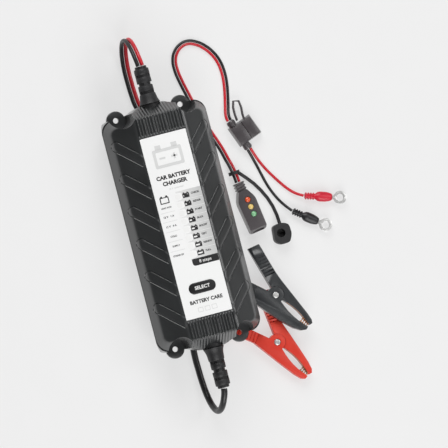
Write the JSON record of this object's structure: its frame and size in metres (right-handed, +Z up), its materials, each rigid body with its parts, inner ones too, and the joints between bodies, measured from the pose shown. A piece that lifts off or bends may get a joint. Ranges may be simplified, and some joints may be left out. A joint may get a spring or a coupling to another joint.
{
  "type": "car battery charger",
  "caption": "Sealed car battery charger with a ribbed case, label panel, push key, mains lead, spring clamps and a fused lead with ring terminals.",
  "frame": {"origin": "centre of the base of the charger and its two clamps, on the table", "axes": "+Z up through the label, +Y along the case towards the low-voltage lead"},
  "size_m": [0.2087, 0.347, 0.0666],
  "materials": {
    "casing": "moulded, fine grain",
    "rubber": "matte",
    "gasket": "matte",
    "label": "satin film",
    "key": "satin",
    "switch": "satin",
    "guide": "clear",
    "board": "varnished",
    "ferrite": "matte",
    "copper": "bare copper",
    "capacitor": "printed sleeve",
    "aluminium": "extruded",
    "screw_steel": "plated",
    "plated_steel": "nickel plated",
    "cord_black": "smooth",
    "wire_red": "smooth",
    "wire_black": "smooth",
    "clamp_red": "moulded",
    "clamp_black": "moulded",
    "boot_red": "soft vinyl",
    "boot_black": "soft vinyl",
    "lens_red": "tinted",
    "lens_yellow": "tinted",
    "lens_green": "tinted",
    "fuse": "tinted"
  },
  "bodies": {
    "charger": {"rear_cover": "casing", "front_cover": "casing", "case_gasket": "gasket", "case_screw_1": "screw_steel", "case_screw_2": "screw_steel", "case_screw_3": "screw_steel", "case_screw_4": "screw_steel", "dc_gland": "rubber", "mains_gland": "rubber", "label_panel": "label", "key_switch": "switch", "light_guide": "guide", "display_board": "board", "main_board": "board", "transformer_core": "ferrite", "transformer_winding": "copper", "input_capacitor": "capacitor", "heat_sink": "aluminium", "filter_choke": "copper", "mains_cord": "cord_black", "mains_hank": "cord_black", "mains_tail": "cord_black", "mains_plug": "rubber", "plug_pin_1": "plated_steel", "plug_pin_2": "plated_steel", "dc_wire_red": "wire_red", "dc_wire_black": "wire_black", "quick_plug": "rubber", "clamp_lead_socket": "rubber", "clamp_wire_red": "wire_red", "clamp_wire_black": "wire_black", "red_clamp_lower_arm": "clamp_red", "red_clamp_lower_jaw": "copper", "red_clamp_pin": "plated_steel", "red_clamp_spring": "screw_steel", "black_clamp_lower_arm": "clamp_black", "black_clamp_lower_jaw": "copper", "black_clamp_pin": "plated_steel", "black_clamp_spring": "screw_steel", "indicator_connector": "rubber", "red_lens": "lens_red", "yellow_lens": "lens_yellow", "green_lens": "lens_green", "dust_cap": "rubber", "fuse_holder_body": "rubber", "blade_fuse": "fuse", "harness_wire_red": "wire_red", "harness_wire_black": "wire_black", "branch_wire_red": "wire_red", "branch_wire_black": "wire_black", "ring_boot_red": "boot_red", "ring_terminal_red": "plated_steel", "ring_boot_black": "boot_black", "ring_terminal_black": "plated_steel"},
    "select_key": {"select_button": "key"},
    "red_clamp_lever": {"red_clamp_upper_arm": "clamp_red", "red_clamp_upper_jaw": "copper"},
    "black_clamp_lever": {"black_clamp_upper_arm": "clamp_black", "black_clamp_upper_jaw": "copper"},
    "fuse_lid": {"fuse_cap": "rubber"}
  },
  "joints": [
    {"name": "select_press", "type": "slide", "parent": "charger", "child": "select_key", "axis": [0, 0, -1], "range_m": [0, 0.0007], "stiffness_N_per_m": 900, "springref_m": -0.0012},
    {"name": "red_clamp_open", "type": "hinge", "parent": "charger", "child": "red_clamp_lever", "pos_m": [0.03949, -0.11626, 0.00435], "axis": [0, 0, 1], "range_deg": [0, 28], "stiffness_Nm_per_rad": 1.2, "springref_deg": -17.19},
    {"name": "black_clamp_open", "type": "hinge", "parent": "charger", "child": "black_clamp_lever", "pos_m": [0.04729, -0.07466, 0.01335], "axis": [0, 0, 1], "range_deg": [0, 28], "stiffness_Nm_per_rad": 1.2, "springref_deg": -17.19},
    {"name": "fuse_cap_pull", "type": "slide", "parent": "charger", "child": "fuse_lid", "axis": [0.9336, 0.3584, 0], "range_m": [0, 0.01]}
  ]
}
